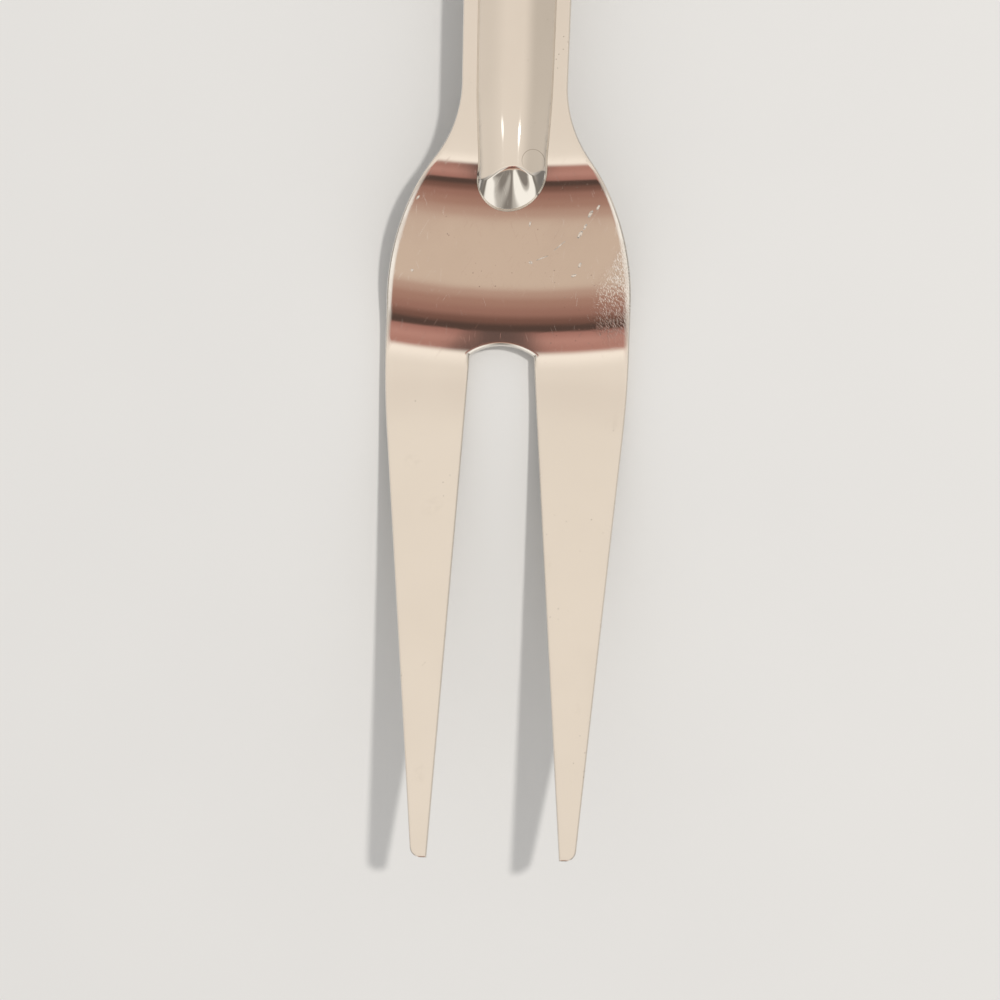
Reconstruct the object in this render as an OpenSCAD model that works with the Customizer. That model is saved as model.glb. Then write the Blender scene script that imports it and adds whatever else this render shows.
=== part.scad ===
// Two-tined carving fork in stainless steel, in millimetres.
// A full-tang blade lies between two domed handle shells, and one cast filler runs through
// windows in the tang and keys the three together.
// The handle runs along +Y, the tines point along -Y and +Z is the hollow front.
// The fork lies on its belly and on the back of its butt, both at Z = 0.

/* [Plate] */
// Thickness of the head, stem and tang
plate_t = 2; // [1.6:0.1:2.6]
// Thickness of the tines at their tips
tip_t = 1.4; // [1:0.1:1.6]

/* [Tines] */
// Length of the tines from the crotch to the tips
tine_l = 53; // [44:1:64]
// Width over both tips
tip_span = 17; // [15.5:0.5:20]
// Gap between the tips
tip_gap = 13.5; // [11:0.5:14]
// Gap between the tines at the crotch
crotch_gap = 6.8; // [5:0.2:9]
// Height of the crotch's arch above its corners
crotch_rise = 1.1; // [0.6:0.1:2.4]
// Rounding of the outer corner of each tip
tip_r = 1.1; // [0.4:0.1:1.4]

/* [Head] */
// Greatest width of the head
head_w = 26; // [23:0.5:32]
// Straight side of the head, from the crotch towards the handle
head_side = 4.5; // [2:0.5:10]
// Radius where the head's side turns into the tine's outer edge
cheek_r = 100; // [60:5:160]
// Radius of the rounded shoulder
shoulder_r = 25; // [18:1:32]
// Radius of the hollow between the shoulder and the stem
stem_r = 13; // [8:1:18]

/* [Bends] */
// Distance of the belly's lowest line from the crotch, towards the tips
belly_back = 0.6; // [0:0.2:3]
// Radius of the belly on the side of the head, on the front face
belly_head_r = 20; // [14:1:26]
// Radius of the belly on the side of the tines, on the front face
belly_tine_r = 38; // [24:2:60]
// Slope of the head where it climbs to the neck, in degrees
head_slope = 21; // [17:1:25]
// Length of the head's straight climb
climb_l = 9; // [6:0.5:11]
// Radius of the neck bend, on the front face
neck_r = 15; // [11:1:20]
// Slope of the tines where they leave the belly, in degrees
tine_slope = 13; // [9:0.5:17]
// Further slope that the tines gain up to their tips, in degrees
tine_curl = 4; // [1:0.5:8]

/* [Handle] */
// Length of the handle from the neck bend to the centre of the butt's round
grip_l = 144; // [110:1:165]
// Width of the shells at the nose
bar_nose_w = 7.6; // [6:0.2:9]
// Width of the shells at the butt
bar_butt_w = 11; // [9.5:0.5:14]
// Height of the shells above the tang at the nose
bar_h = 1.5; // [1.2:0.1:2]
// Border of the tang that shows beside the shells
border = 1.75; // [1:0.25:3]
// Reach of the front shell past the neck bend's end, up to the centre of its nose
nose_reach = 1.1; // [0.5:0.1:2]
// Set-back of the back shell's nose centre from the neck bend
back_start = 9; // [6:1:20]

/* [Inside] */
// Wall of the shells
shell_wall = 0.8; // [0.5:0.1:1]
// Gap between the filler and the steel round it
bond_gap = 0.05; // [0.02:0.01:0.1]
// Number of windows in the tang
window_count = 3; // [1:1:3]
// Length of a window
window_l = 24; // [12:1:30]
// Width of a window
window_w = 4; // [2:0.2:4.4]
// Distance from one window to the next
window_pitch = 36; // [32:1:40]
// Distance of the first window's centre from the neck bend
window_start = 38; // [30:1:44]

/* [Hidden] */
$fn = 96;

steel = [0.86, 0.82, 0.77];
pressed_steel = [0.80, 0.77, 0.72];
resin = [0.55, 0.47, 0.38];

// Straight pieces in one bend of the side profile or of the outline
bend_steps = 12;
// Reach of cutting bodies past what they cut
past = 12;
// Depth to which a window's key is sunk in the core on each face
key_sink = 0.15;

// Shell section: an arc of radius dome_r(w) about a line at depth dome_c under the seat
dome_c = (pow(bar_nose_w / 2, 2) - pow(bar_h, 2)) / (2 * bar_h);
function dome_r(width) = norm([width / 2, dome_c]);
nose_r = dome_r(bar_nose_w);
butt_r = dome_r(bar_butt_w);
function grip_r(y) = nose_r + (butt_r - nose_r) * y / grip_l;
// Set-back of the filler's front end, which stays clear of the neck bend
core_start = 2 * nose_r;

// Side profile of the front face, as [y, z], from the belly up to the neck
belly = [-belly_back, plate_t];
belly_head_c = belly + [0, belly_head_r];
climb_foot = belly_head_c + belly_head_r * [sin(head_slope), -cos(head_slope)];
climb_top = climb_foot + climb_l * [cos(head_slope), sin(head_slope)];
neck_c = climb_top + neck_r * [sin(head_slope), -cos(head_slope)];

// The handle drops by the angle at which the back of its butt just touches the ground:
// grip_l sin(a) + side cos(a) = rise
rest_side = plate_t - dome_c - neck_r;
rest_rise = neck_c[1] - butt_r;
handle_drop = asin(rest_rise / norm([grip_l, rest_side])) - atan2(rest_side, grip_l);
along = [cos(handle_drop), -sin(handle_drop)];
up = [sin(handle_drop), cos(handle_drop)];
neck_end = neck_c + neck_r * up;
butt = neck_end + grip_l * along;

// Side profile of the front face, from the belly out to the tips
belly_tine_c = belly + [0, belly_tine_r];
tine_root = belly_tine_c - belly_tine_r * [sin(tine_slope), cos(tine_slope)];
tine_sine = sin(tine_slope + tine_curl) - sin(tine_slope);
tine_bow_r = (tine_l + tine_root[0]) / tine_sine;
tine_bow_c = tine_root + tine_bow_r * [sin(tine_slope), cos(tine_slope)];

// Plan of the blade, for X > 0
butt_half = bar_butt_w / 2 + border;
stem_half = bar_nose_w / 2 + border;
head_half = head_w / 2;
shoulder_angle = acos(1 - (head_half - stem_half) / (shoulder_r + stem_r));
stem_y = head_side + (shoulder_r + stem_r) * sin(shoulder_angle);
cheek_c = [head_half - cheek_r, 0];
tip_corner = [tip_span / 2, -tine_l];
cheek_to_tip = tip_corner - cheek_c;
cheek_angle = atan2(cheek_to_tip[1], cheek_to_tip[0]) + acos(cheek_r / norm(cheek_to_tip));
crotch_r = (pow(crotch_gap / 2, 2) + pow(crotch_rise, 2)) / (2 * crotch_rise);
crotch_angle = asin(crotch_gap / 2 / crotch_r);

// Points on an arc about c, with angles from the first axis, in equal steps
function arc(c, r, a0, a1, steps = bend_steps) =
    [for (i = [0:steps]) let (a = a0 + (a1 - a0) * i / steps) c + r * [cos(a), sin(a)]];

function mirrored(points) = [for (i = [len(points) - 1:-1:0]) [-points[i][0], points[i][1]]];

function reversed(points) = [for (i = [len(points) - 1:-1:0]) points[i]];

// One face of the plate, from past the tips to past the butt. The face lies at the given
// depth under the front face, and at depth_tip at the tips.
function face_line(depth, depth_tip) = concat(
    [for (i = [bend_steps + 1:-1:1])
        let (a = tine_slope + tine_curl * i / bend_steps,
             d = depth + (depth_tip - depth) * i / bend_steps)
        tine_bow_c - (tine_bow_r + d) * [sin(a), cos(a)]],
    arc(belly_tine_c, belly_tine_r + depth, 270 - tine_slope, 270),
    arc(belly_head_c, belly_head_r + depth, 270 + head_slope / bend_steps, 270 + head_slope),
    arc(neck_c, neck_r - depth, 90 + head_slope, 90 - handle_drop),
    [butt + (butt_half + past) * along - depth * up]);

// Extrudes a [y, z] outline across the fork
module across(width) {
    rotate([90, 0, 90]) linear_extrude(width, center = true) children();
}

// Moves to the handle's own frame: origin at the end of the neck bend on the front face
module on_handle() {
    translate([0, neck_end[0], neck_end[1]]) rotate([-handle_drop, 0, 0]) children();
}

// Moves the fork so that its length is centred on the origin
module centred() {
    translate([0, (tine_l - butt[0] - butt_half) / 2, 0]) children();
}

// Half a ball on the +Y side of its flat face
module half_ball(r) {
    rotate_extrude(angle = 180) intersection() {
        circle(r);
        translate([0, -r]) square([r, 2 * r]);
    }
}

// The plate bent to the side profile, before its outline is cut
module bent_plate() {
    across(head_w + past)
        polygon(concat(face_line(0, 0), reversed(face_line(plate_t, tip_t))));
}

// Half of the blade's outline, from the tip to the butt
function half_outline() = concat(
    arc(tip_corner + [-tip_r, tip_r], tip_r, 270, 360 + cheek_angle),
    arc(cheek_c, cheek_r, cheek_angle, 0),
    arc([head_half - shoulder_r, head_side], shoulder_r, 0, shoulder_angle),
    arc([stem_half + stem_r, stem_y], stem_r, 180 + shoulder_angle, 180),
    arc([0, butt[0]], butt_half, 0, 90));

module outline() {
    difference() {
        polygon(concat(half_outline(), mirrored(half_outline())));
        tine_gap();
    }
}

// The gap between the tines, with its arched crotch
module tine_gap() {
    reach = past / tine_l;
    mouth_half = tip_gap / 2 + (tip_gap - crotch_gap) / 2 * reach;
    mouth = [mouth_half, -tine_l - past];
    polygon(concat([mouth],
        arc([0, -crotch_r], crotch_r, 90 - crotch_angle, 90 + crotch_angle),
        mirrored([mouth])));
}

// A round-ended window through the tang, of the given width, length and depth
module window_body(width, length, depth) {
    translate([0, 0, -plate_t / 2]) linear_extrude(depth, center = true) {
        square([width, length - width], center = true);
        for (end = [-1, 1])
            translate([0, end * (length - width) / 2]) circle(d = width);
    }
}

module at_windows() {
    for (i = [0:window_count - 1])
        translate([0, window_start + i * window_pitch, 0]) children();
}

// A round-ended body along the grip, from the given start to the butt, less the given inset
module grip_round(start, inset) {
    length = grip_l - start;
    start_r = grip_r(start) - inset;
    end_r = butt_r - inset;
    translate([0, start, 0]) {
        rotate(180) half_ball(start_r);
        rotate([-90, 0, 0]) cylinder(length, start_r, end_r);
        translate([0, length, 0]) half_ball(end_r);
    }
}

// The part of a body along the grip that stands out of the tang's front
module on_front(start, inset) {
    difference() {
        translate([0, 0, -dome_c]) grip_round(start, inset);
        translate([0, 0, -2 * butt_r]) grip_block(0);
    }
}

// The part of a body along the grip that stands out of the tang's back
module on_back(start, inset) {
    translate([0, 0, -plate_t]) difference() {
        translate([0, 0, dome_c]) grip_round(start, inset);
        translate([0, 0, 2 * butt_r]) grip_block(-2 * butt_r);
    }
}

// A block over the grip, from the given start to past the butt
module grip_block(start) {
    length = grip_l + 2 * butt_r - start;
    translate([0, start + length / 2, 0]) cube([4 * butt_r, length, 4 * butt_r], center = true);
}

// Tines, head, stem and tang, bent from one plate
module fork_blade() {
    color(steel) centred() difference() {
        intersection() {
            bent_plate();
            linear_extrude(tine_l, center = true) outline();
        }
        on_handle() at_windows() window_body(window_w, window_l, 3 * plate_t);
    }
}

// Domed pressing on the front, with a rounded nose that is cut to the neck bend
module front_handle_shell() {
    color(pressed_steel) centred() on_handle() difference() {
        on_front(-nose_reach, 0);
        translate([0, 0, -neck_r]) rotate([0, 90, 0]) cylinder(3 * nose_r, r = neck_r, center = true);
        translate([0, 0, -dome_c]) grip_round(-nose_reach, shell_wall);
    }
}

// Domed pressing on the back
module back_handle_shell() {
    color(pressed_steel) centred() on_handle() difference() {
        on_back(back_start, 0);
        translate([0, 0, dome_c - plate_t]) grip_round(back_start, shell_wall);
    }
}

// Cast core of both shells, joined through the windows
module handle_filler() {
    core_inset = shell_wall + bond_gap;
    color(resin) centred() on_handle() {
        on_front(core_start, core_inset);
        on_back(back_start, core_inset);
        at_windows()
            window_body(window_w - 2 * bond_gap, window_l - 2 * bond_gap, plate_t + 2 * key_sink);
    }
}

fork_blade();
front_handle_shell();
back_handle_shell();
handle_filler();
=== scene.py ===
"""Looks of a two-tined carving fork in polished steel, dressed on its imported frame.

Lengths inside the classes are millimetres in a bench frame: the crotch between the tines is at
y = 0, the handle runs along +y and the table is at z = 0. Meshes are moved along y and turned
into metres when they are made, so every piece sits at the origin of the shared frame.
"""
import logging
import math
from dataclasses import dataclass, field
from enum import Enum
from functools import cached_property
from typing import Any, Sequence, Union

import bmesh
import bpy
import numpy as np
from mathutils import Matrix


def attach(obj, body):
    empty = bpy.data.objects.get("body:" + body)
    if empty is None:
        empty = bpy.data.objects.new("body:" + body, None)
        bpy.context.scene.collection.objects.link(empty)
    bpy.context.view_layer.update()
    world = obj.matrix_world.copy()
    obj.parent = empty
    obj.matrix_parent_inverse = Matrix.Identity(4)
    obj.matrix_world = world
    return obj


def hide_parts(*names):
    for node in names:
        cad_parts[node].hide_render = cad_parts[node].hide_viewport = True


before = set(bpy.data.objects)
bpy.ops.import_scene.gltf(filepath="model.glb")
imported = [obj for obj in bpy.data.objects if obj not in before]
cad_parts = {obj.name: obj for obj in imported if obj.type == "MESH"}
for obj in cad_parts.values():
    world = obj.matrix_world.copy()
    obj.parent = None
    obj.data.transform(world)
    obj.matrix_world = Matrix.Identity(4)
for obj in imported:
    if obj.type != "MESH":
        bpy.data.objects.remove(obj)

LOG = logging.getLogger("fork")
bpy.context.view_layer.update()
MM = 0.001
TINY = 1e-9
Grid = np.ndarray
Pair = tuple[float, float]
Vector = tuple[float, float, float]
Colour = tuple[float, float, float]
Stops = Sequence[tuple[float, Any]]
Value = Union["Socket", float, int]


# Sizes and curves


@dataclass(frozen=True)
class ForkSizes:
    """Driving sizes of the fork in mm and degrees.

    They are those of the part's source, with the bends and the bar's nose 0.8 mm nearer the tips,
    where the bands of reflected light show them.
    """

    plate_t: float = 2.0
    tip_t: float = 1.4
    tine_l: float = 53.0
    tip_span: float = 17.0
    tip_gap: float = 13.5
    crotch_gap: float = 6.8
    crotch_rise: float = 1.1
    tip_r: float = 1.1
    head_w: float = 26.0
    head_side: float = 4.5
    cheek_r: float = 100.0
    shoulder_r: float = 25.0
    stem_r: float = 13.0
    belly_back: float = 1.4
    belly_head_r: float = 20.0
    belly_tine_r: float = 38.0
    head_slope: float = 21.0
    climb_l: float = 9.0
    neck_r: float = 15.0
    tine_slope: float = 13.0
    tine_curl: float = 4.0
    grip_l: float = 144.8
    bar_nose_w: float = 7.6
    bar_butt_w: float = 11.0
    bar_h: float = 1.5
    border: float = 1.75
    nose_reach: float = 1.1
    back_start: float = 9.8
    shell_wall: float = 0.8
    window_start: float = 38.8
    window_pitch: float = 36.0
    window_count: int = 3
    window_l: float = 24.0
    window_w: float = 4.0

    @cached_property
    def dome_c(self) -> float:
        """Depth of the bar's round axis under the plate."""
        half = self.bar_nose_w / 2
        return (half ** 2 - self.bar_h ** 2) / (2 * self.bar_h)

    @cached_property
    def nose_r(self) -> float:
        """Radius of the bar's round at the neck."""
        return math.hypot(self.bar_nose_w / 2, self.dome_c)

    @cached_property
    def butt_r(self) -> float:
        """Radius of the bar's round at the butt."""
        return math.hypot(self.bar_butt_w / 2, self.dome_c)

    @cached_property
    def stem_half(self) -> float:
        """Half the width of the stem at the neck."""
        return self.bar_nose_w / 2 + self.border

    @cached_property
    def butt_half(self) -> float:
        """Half the width of the tang at the butt, and the radius of its round end."""
        return self.bar_butt_w / 2 + self.border

    @cached_property
    def climb_foot(self) -> np.ndarray:
        """Where the belly's bend passes into the straight climb, as (y, z)."""
        a = math.radians(self.head_slope)
        return np.array([-self.belly_back + self.belly_head_r * math.sin(a),
                         self.plate_t + self.belly_head_r * (1 - math.cos(a))])

    @cached_property
    def climb_top(self) -> np.ndarray:
        """Where the climb passes into the neck's bend, as (y, z)."""
        a = math.radians(self.head_slope)
        return self.climb_foot + self.climb_l * np.array([math.cos(a), math.sin(a)])

    @cached_property
    def neck_c(self) -> np.ndarray:
        """Centre of the neck's bend, as (y, z)."""
        a = math.radians(self.head_slope)
        return self.climb_top + self.neck_r * np.array([math.sin(a), -math.cos(a)])

    @cached_property
    def drop(self) -> float:
        """Fall of the handle towards the butt, in radians, so that the butt rests on the table."""
        side = self.plate_t - self.dome_c - self.neck_r
        rise = self.neck_c[1] - self.butt_r
        return math.asin(rise / math.hypot(self.grip_l, side)) - math.atan2(side, self.grip_l)

    @cached_property
    def neck_end(self) -> np.ndarray:
        """Start of the straight handle on the plate's front, as (y, z)."""
        return self.neck_c + self.neck_r * np.array([math.sin(self.drop), math.cos(self.drop)])

    @cached_property
    def butt(self) -> np.ndarray:
        """Centre of the round butt on the plate's front, as (y, z)."""
        return self.neck_end + self.grip_l * np.array([math.cos(self.drop), -math.sin(self.drop)])

    @cached_property
    def shift(self) -> float:
        """Move along y that puts the middle of the fork's length at the origin."""
        return (self.tine_l - self.butt[0] - self.butt_half) / 2

    def grip_r(self, s: np.ndarray) -> np.ndarray:
        """Radius of the bar's round at length s along the handle."""
        return self.nose_r + (self.butt_r - self.nose_r) * s / self.grip_l


def points(*parts: Union[float, np.ndarray]) -> Grid:
    """Points from their coordinates, which are arrays of one shape or single numbers."""
    return np.stack(np.broadcast_arrays(*parts), axis=-1)


def unit(vectors: Grid) -> Grid:
    """Vectors brought to length 1."""
    return vectors / np.linalg.norm(vectors, axis=-1, keepdims=True)


def onward(start: float, end: float, count: int) -> np.ndarray:
    """A count of even values up to the end, without the start."""
    return np.linspace(start, end, count + 1)[1:]


def between(start: float, end: float, count: int) -> np.ndarray:
    """A count of even values between start and end, without either."""
    return np.linspace(start, end, count + 2)[1:-1]


def smooth(edge0: float, edge1: float, x: np.ndarray) -> np.ndarray:
    """Soft step from 0 at edge0 to 1 at edge1."""
    t = np.clip((x - edge0) / (edge1 - edge0), 0.0, 1.0)
    return t * t * (3 - 2 * t)


def arc(centre: Pair, radius: float, start: float, end: float, count: int) -> Grid:
    """Points on a circular arc.

    Args:
        centre: centre of the circle.
        radius: its radius.
        start: first angle in degrees.
        end: last angle in degrees.
        count: number of points.

    Returns:
        An array of shape (count, 2).
    """
    angle = np.radians(np.linspace(start, end, count))
    return points(centre[0] + radius * np.cos(angle), centre[1] + radius * np.sin(angle))


def half_circle(y: np.ndarray, centre: Pair, radius: float, half: int) -> np.ndarray:
    """Height of the upper (1) or lower (-1) half of a circle at each y, level beyond its ends."""
    return centre[1] + half * np.sqrt(np.maximum(radius * radius - (y - centre[0]) ** 2, 0))


@dataclass
class SideProfile:
    """Height of the plate's two faces along the fork.

    The front face is a chain of tangent arcs and lines. It is sampled finely and blurred by about a
    millimetre, so that its curvature, and with it a reflection, changes without a step. The back face
    is the front face moved by the plate's thickness along the normal.
    """

    sizes: ForkSizes
    step: float = 0.01
    margin: float = 6.0
    blur: float = 1.2
    blur_reach: float = 4.0
    bow: float = 0.9
    bow_rises: Pair = (-9.0, -1.0)
    bow_fades: Pair = (26.0, 32.0)
    thin_end: float = 1.1
    y: np.ndarray = field(init=False)
    z_front: np.ndarray = field(init=False)
    z_back: np.ndarray = field(init=False)

    def __post_init__(self) -> None:
        """Samples both faces."""
        s = self.sizes
        self.y = np.arange(-s.tine_l - self.margin, s.butt[0] + s.butt_half + self.margin, self.step)
        reach = int(self.blur_reach * self.blur / self.step)
        kernel = np.exp(-0.5 * (np.arange(-reach, reach + 1) * self.step / self.blur) ** 2)
        padded = np.pad(self._chain(self.y), reach, mode="reflect", reflect_type="odd")
        self.z_front = np.convolve(padded, kernel / kernel.sum(), mode="valid")
        slope = np.gradient(self.z_front, self.step)
        long = np.sqrt(1 + slope ** 2)
        depth = self.thickness(self.y)
        self.z_back = np.interp(self.y, self.y + depth * slope / long, self.z_front - depth / long)

    def _chain(self, y: np.ndarray) -> np.ndarray:
        """Unblurred front face: curl of the tines, both bends of the belly, climb, neck and handle.

        Args:
            y: lengths along the fork.

        Returns:
            The height at each length.
        """
        s = self.sizes
        tilt = math.radians(s.tine_slope)
        curl = math.radians(s.tine_slope + s.tine_curl)
        root = np.array([-s.belly_back - s.belly_tine_r * math.sin(tilt),
                         s.plate_t + s.belly_tine_r * (1 - math.cos(tilt))])
        curl_r = (s.tine_l + root[0]) / (math.sin(curl) - math.sin(tilt))
        curl_c = root + curl_r * np.array([math.sin(tilt), math.cos(tilt)])
        tine_c, head_c = ((-s.belly_back, s.plate_t + r) for r in (s.belly_tine_r, s.belly_head_r))
        climb = s.climb_foot[1] + (y - s.climb_foot[0]) * math.tan(math.radians(s.head_slope))
        return np.select(
            [y < root[0], y < -s.belly_back, y < s.climb_foot[0], y < s.climb_top[0], y < s.neck_end[0]],
            [half_circle(y, curl_c, curl_r, -1), half_circle(y, tine_c, s.belly_tine_r, -1),
             half_circle(y, head_c, s.belly_head_r, -1), climb, half_circle(y, s.neck_c, s.neck_r, 1)],
            s.neck_end[1] - (y - s.neck_end[0]) * math.tan(s.drop))

    def thickness(self, y: np.ndarray) -> np.ndarray:
        """Thickness of the plate, even on head and stem and falling in a line towards the tips.

        Args:
            y: lengths along the fork.

        Returns:
            The thickness at each length.
        """
        s = self.sizes
        root = s.belly_back + s.belly_tine_r * math.sin(math.radians(s.tine_slope))
        share = np.clip((-y - root) / (s.tine_l - root), 0, self.thin_end)
        return s.plate_t - (s.plate_t - s.tip_t) * share

    def along(self, x: np.ndarray, y: np.ndarray) -> np.ndarray:
        """Length at which the profile is read.

        The bends were pressed with bowed tools: beside the middle of the head a bend lies nearer to
        the handle, by the bow times the square of x over the half width. It fades out on the tines
        and on the stem.

        Args:
            x: places across the fork.
            y: lengths along the fork.

        Returns:
            The length in the profile for each place.
        """
        fade = smooth(*self.bow_rises, y) * (1 - smooth(*self.bow_fades, y))
        return y - self.bow * fade * (x / (self.sizes.head_w / 2)) ** 2

    def front(self, x: np.ndarray, y: np.ndarray) -> np.ndarray:
        """Height of the front face."""
        return np.interp(self.along(x, y), self.y, self.z_front)

    def back(self, x: np.ndarray, y: np.ndarray) -> np.ndarray:
        """Height of the back face."""
        return np.interp(self.along(x, y), self.y, self.z_back)


class Hand(Enum):
    """The two halves of the blade, with the sign of x on each."""

    RIGHT = 1
    LEFT = -1


@dataclass
class PlanOutline:
    """One half of the blade's plan as a strip between an outer and an inner line, x being outward.

    The outer line runs from the tip along cheek, shoulder and stem to the butt. The inner line runs
    along the tine gap, over the arch of the crotch, then up the middle of the fork and around the
    windows of the tang. Row i of the strip joins point i of both lines. The slot between the tines
    was cut a little askew, so at the crotch it lies off the middle. Fields that end in n are counts
    of rows; line_n counts the fine points of tip, cheek, shoulder, stem and butt.
    """

    sizes: ForkSizes
    hand: Hand
    slot_off: float = -0.58
    slot_fade: float = 12.0
    arch_from: float = -2.5
    tine_end: float = -4.0
    cheek_end: float = -1.8
    cheek_lead: float = 3.4
    head_end: float = 28.0
    fine_step: float = 0.06
    butt_reach: float = 3.0
    butt_inset: float = 0.002
    tip_n: int = 9
    tine_n: int = 103
    root_n: int = 12
    arch_n: int = 20
    fine_n: int = 8
    head_n: int = 93
    stem_n: int = 38
    bridge_n: int = 10
    window_n: int = 12
    window_turn_n: int = 8
    last_n: int = 19
    butt_n: int = 24
    line_n: tuple[int, ...] = (60, 200, 300, 200, 100)
    outer: Grid = field(init=False)
    inner: Grid = field(init=False)
    inward: Grid = field(init=False)
    edge_runs: list[tuple[int, int]] = field(init=False)

    def __post_init__(self) -> None:
        """Lays the matched points of both lines, from the tip to the butt."""
        s = self.sizes
        tip = arc(self._tip_centre, s.tip_r, 270, 360 + self._cheek_angle, self.tip_n)
        tine = onward(tip[-1, 1], self.tine_end, self.tine_n)
        gap = np.concatenate([tip[:, 1], tine, onward(self.tine_end, -s.crotch_rise, self.root_n)])
        phi = onward(self._crotch_angle, 0, self.arch_n)
        head = np.append(np.arange(1, self.fine_n + 1) * self.fine_step,
                         onward(self.fine_n * self.fine_step, self.head_end, self.head_n))
        tang, windows = self._tang_rows()
        reach = np.append(onward(0, self.butt_reach, self.butt_n - 1), self.butt_reach)
        inner = [points(self.gap_half(gap), gap), self._crotch_r * points(np.sin(phi), np.cos(phi) - 1),
                 points(0.0, head), points(self._window_half(tang), tang), points(0.0, s.butt[0] + reach)]
        self.inner = np.concatenate(inner)
        self.inner[:, 0] += self.slot_mid(self.inner[:, 1])
        lead, line = self.cheek_lead, self._outer_line()
        side = np.concatenate([tine, onward(self.tine_end, self.cheek_end, self.root_n),
                               onward(self.cheek_end, lead, self.arch_n),
                               lead + head * (self.head_end - lead) / self.head_end, tang])
        butt = arc((0, s.butt[0]), s.butt_half - self.butt_inset, 0, 90, self.butt_n + 1)[1:]
        self.outer = np.concatenate([tip, points(np.interp(side, line[:, 1], line[:, 0]), side), butt])
        tangent = np.gradient(self.outer, axis=0)
        tangent[0], tangent[-1] = (1, 0), (-1, 0)
        tangent = unit(tangent)
        self.inward = points(-tangent[:, 1], tangent[:, 0])
        crotch = len(inner[0]) + len(inner[1]) - 1
        first = crotch + 1 + len(inner[2])
        self.edge_runs = [(0, crotch)] + [(first + a, first + b) for a, b in windows]

    @cached_property
    def _crotch_r(self) -> float:
        """Radius of the arch of the crotch."""
        half = self.sizes.crotch_gap / 2
        return (half ** 2 + self.sizes.crotch_rise ** 2) / (2 * self.sizes.crotch_rise)

    @cached_property
    def _crotch_angle(self) -> float:
        """Half the angle of the arch, in radians."""
        return math.asin(self.sizes.crotch_gap / 2 / self._crotch_r)

    @cached_property
    def _tip_centre(self) -> Pair:
        """Centre of the tip's rounded outer corner."""
        s = self.sizes
        return (s.tip_span / 2 - s.tip_r, -s.tine_l + s.tip_r)

    @cached_property
    def _cheek_angle(self) -> float:
        """Angle in degrees at which the cheek's curve passes into the straight tine."""
        s = self.sizes
        x, y = self._tip_centre[0] - (s.head_w / 2 - s.cheek_r), self._tip_centre[1]
        return math.degrees(math.atan2(y, x) + math.acos((s.cheek_r - s.tip_r) / np.hypot(x, y)))

    @cached_property
    def _window_mids(self) -> np.ndarray:
        """Middles of the tang's windows along y."""
        s = self.sizes
        along = s.window_start + s.window_pitch * np.arange(s.window_count)
        return s.neck_end[0] + math.cos(s.drop) * along

    def slot_mid(self, y: np.ndarray) -> np.ndarray:
        """Place of the slot's middle line, off at the crotch and fading to the tips and up the head."""
        fade = np.where(y < 0, 1 + y / self.sizes.tine_l, 1 - smooth(0.0, self.slot_fade, y))
        return self.hand.value * self.slot_off * fade

    def gap_half(self, y: np.ndarray) -> np.ndarray:
        """Half the width of the tine gap, a straight line from the crotch to the tips.

        Args:
            y: lengths along the fork.

        Returns:
            The half width at each length.
        """
        s = self.sizes
        share = (-y - s.crotch_rise) / (s.tine_l - s.crotch_rise)
        return s.crotch_gap / 2 + (s.tip_gap - s.crotch_gap) / 2 * share

    def _outer_line(self) -> Grid:
        """The outer line as fine points on five arcs, with y rising all along.

        Returns:
            An array of shape (points, 2).
        """
        s = self.sizes
        half, both = s.head_w / 2, s.shoulder_r + s.stem_r
        turn = math.degrees(math.acos((s.shoulder_r - half + s.stem_half + s.stem_r) / both))
        stem_y = s.head_side + both * math.sin(math.radians(turn))
        arcs = [(self._tip_centre, s.tip_r, 270, 360 + self._cheek_angle),
                ((half - s.cheek_r, 0), s.cheek_r, self._cheek_angle, 0),
                ((half - s.shoulder_r, s.head_side), s.shoulder_r, 0, turn),
                ((s.stem_half + s.stem_r, stem_y), s.stem_r, 180 + turn, 180),
                ((0, s.butt[0]), s.butt_half, 0, 90)]
        return np.concatenate([arc(*bend, count) for bend, count in zip(arcs, self.line_n)])

    def _window_half(self, y: np.ndarray) -> np.ndarray:
        """Half the width of the tang's windows, round at both ends and 0 between them.

        Args:
            y: lengths along the fork.

        Returns:
            The half width at each length.
        """
        s = self.sizes
        r, whole = s.window_w / 2, s.window_l / 2
        off = np.abs(y[:, None] - self._window_mids).min(axis=1)
        bend = np.clip(off - (whole - r), 0, r)
        return np.where(off < whole - TINY, np.sqrt(np.maximum(r * r - bend ** 2, 0)), 0.0)

    def _tang_rows(self) -> tuple[np.ndarray, list[tuple[int, int]]]:
        """Rows along the tang, closer at the round ends of the windows.

        Returns:
            The y of the rows, and the first and last row of each window.
        """
        s = self.sizes
        r = s.window_w / 2
        turn = r * (1 - np.cos(np.linspace(0, math.pi / 2, self.window_turn_n)))
        rows, runs, start, count = [], [], self.head_end, self.stem_n
        for mid in self._window_mids:
            low, high = mid - s.window_l / 2, mid + s.window_l / 2
            rows.append(between(start, low, count))
            first = sum(map(len, rows))
            rows += [low + turn, between(low + r, high - r, self.window_n), (high - turn)[::-1]]
            runs.append((first, sum(map(len, rows)) - 1))
            start, count = high, self.bridge_n
        rows.append(onward(start, s.butt[0], self.last_n))
        return np.concatenate(rows), runs

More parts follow.
